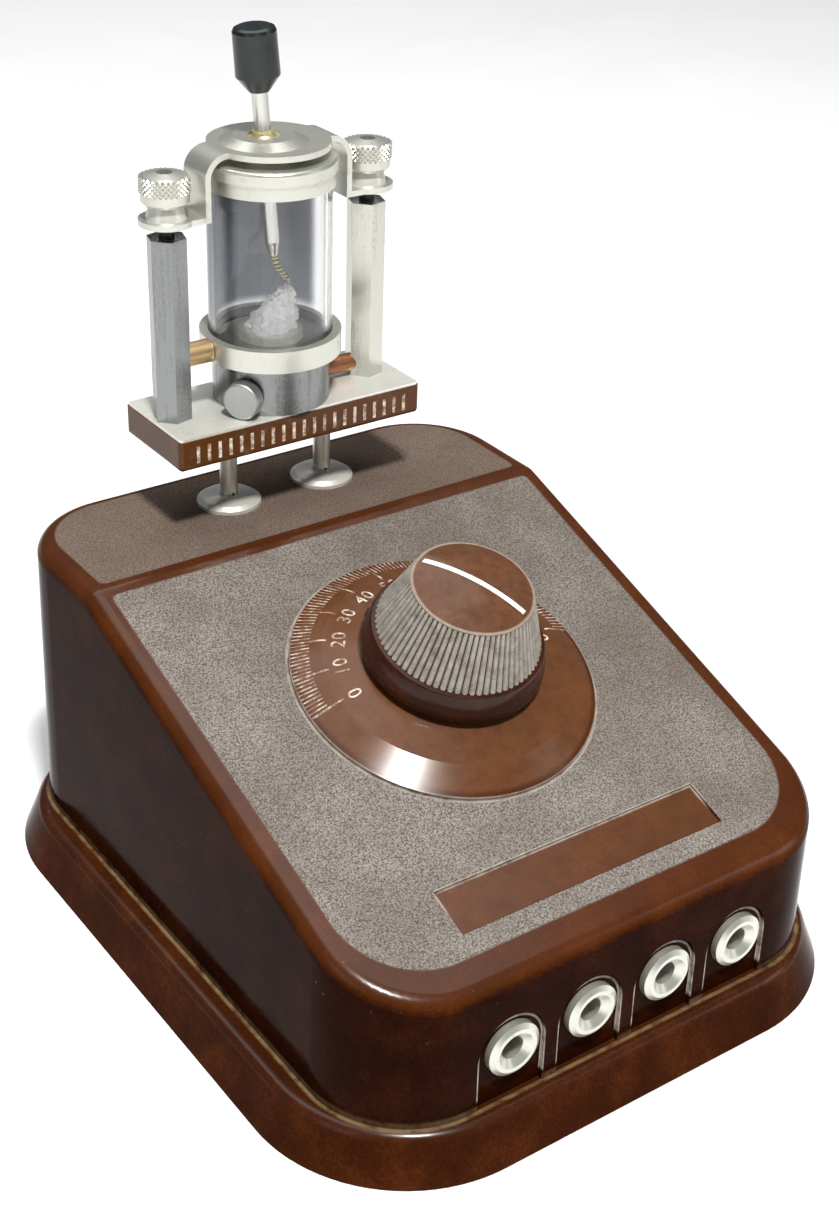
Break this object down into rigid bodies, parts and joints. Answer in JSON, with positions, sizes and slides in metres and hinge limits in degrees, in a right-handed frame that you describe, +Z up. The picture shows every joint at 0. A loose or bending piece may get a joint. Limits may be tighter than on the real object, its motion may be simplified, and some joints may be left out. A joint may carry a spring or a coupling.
{
  "type": "crystal radio receiver",
  "caption": "Moulded wedge-shaped crystal radio with a tuning knob on a dial, front plug sockets and a plug-in crystal detector with a tilting searcher.",
  "frame": {"origin": "middle of the plinth's underside, on the table", "axes": "+Z up, +X to the right seen from the front, +Y towards the back; the sloping front faces -Y"},
  "size_m": [0.11, 0.1318, 0.1448],
  "materials": {
    "bakelite": "polished brown phenolic moulding",
    "board": "pressed fibre board",
    "nickel": "worn nickel plate over brass",
    "steel": "plain steel",
    "brass": "tarnished brass",
    "aluminium": "dull sheet",
    "card": "varnished paper tube",
    "copper": "enamelled copper wire",
    "glass": "clear, slightly grey",
    "black": "black moulding",
    "crystal": "sparkling cleaved mineral"
  },
  "bodies": {
    "case": {"case_shell": "bakelite", "base_plate": "board", "base_screws": "steel", "front_socket_1": "nickel", "front_socket_2": "nickel", "front_socket_3": "nickel", "front_socket_4": "nickel", "front_solder_tags": "brass", "front_socket_nuts": "brass", "deck_sockets": "nickel", "deck_solder_tags": "brass", "deck_socket_nuts": "brass", "shaft_bush": "brass", "bush_nut": "brass", "capacitor_front_plate": "aluminium", "capacitor_rear_plate": "aluminium", "capacitor_pillars": "brass", "fixed_vanes": "aluminium", "coil_former": "card", "coil_winding": "copper", "left_coil_cheek": "board", "right_coil_cheek": "board", "cheek_screws": "steel", "hookup_wires": "copper"},
    "tuning": {"tuning_knob": "bakelite", "grub_screw": "steel", "tuning_shaft": "steel", "moving_vanes": "aluminium"},
    "detector": {"detector_base": "bakelite", "left_cover": "nickel", "right_cover": "nickel", "plug_pins": "nickel", "left_post": "nickel", "right_post": "nickel", "post_studs": "steel", "bridge": "nickel", "drum": "nickel", "glass_seat_ring": "nickel", "glass_tube": "glass", "glass_cap": "nickel", "left_stay_stud": "copper", "right_stay_stud": "copper", "crystal": "crystal", "crystal_cup": "brass", "ball_housing": "nickel", "ball_retainer": "nickel", "ear_washers": "nickel"},
    "lock_screw": {"clamp_screw": "nickel"},
    "left_nut": {"left_thumb_nut": "nickel"},
    "right_nut": {"right_thumb_nut": "nickel"},
    "liner": {"ball_liner": "brass"},
    "ball": {"pivot_ball": "brass"},
    "sleeve": {"rod_sleeve": "brass"},
    "searcher": {"detector_rod": "nickel", "handle": "black", "whisker": "brass"}
  },
  "joints": [
    {"name": "tuning_turn", "type": "hinge", "parent": "case", "child": "tuning", "pos_m": [0, -0.0085, 0.04849], "axis": [0, -0.3206, 0.9472], "range_deg": [-120, 60]},
    {"name": "detector_unplug", "type": "slide", "parent": "case", "child": "detector", "axis": [0, 0, 1], "range_m": [0, 0.012]},
    {"name": "searcher_swing_side", "type": "hinge", "parent": "detector", "child": "liner", "pos_m": [-0.0019, 0.0449, 0.1252], "axis": [0, 1, 0], "range_deg": [-7, 17]},
    {"name": "searcher_swing_ahead", "type": "hinge", "parent": "liner", "child": "ball", "pos_m": [-0.0019, 0.0449, 0.1252], "axis": [1, 0, 0], "range_deg": [-8, 8]},
    {"name": "searcher_spin", "type": "hinge", "parent": "ball", "child": "sleeve", "pos_m": [-0.0019, 0.0449, 0.1252], "axis": [-0.0872, 0, 0.9962], "continuous": true},
    {"name": "searcher_lift", "type": "slide", "parent": "sleeve", "child": "searcher", "axis": [-0.0872, 0, 0.9962], "range_m": [0, 0.006]},
    {"name": "left_nut_turn", "type": "hinge", "parent": "detector", "child": "left_nut", "pos_m": [-0.0207, 0.0449, 0.118], "axis": [0, 0, 1], "continuous": true},
    {"name": "right_nut_turn", "type": "hinge", "parent": "detector", "child": "right_nut", "pos_m": [0.0189, 0.0449, 0.118], "axis": [0, 0, 1], "continuous": true},
    {"name": "lock_screw_turn", "type": "hinge", "parent": "detector", "child": "lock_screw", "pos_m": [-0.0009, 0.0449, 0.0834], "axis": [-0.8191, -0.5736, 0], "continuous": true}
  ]
}
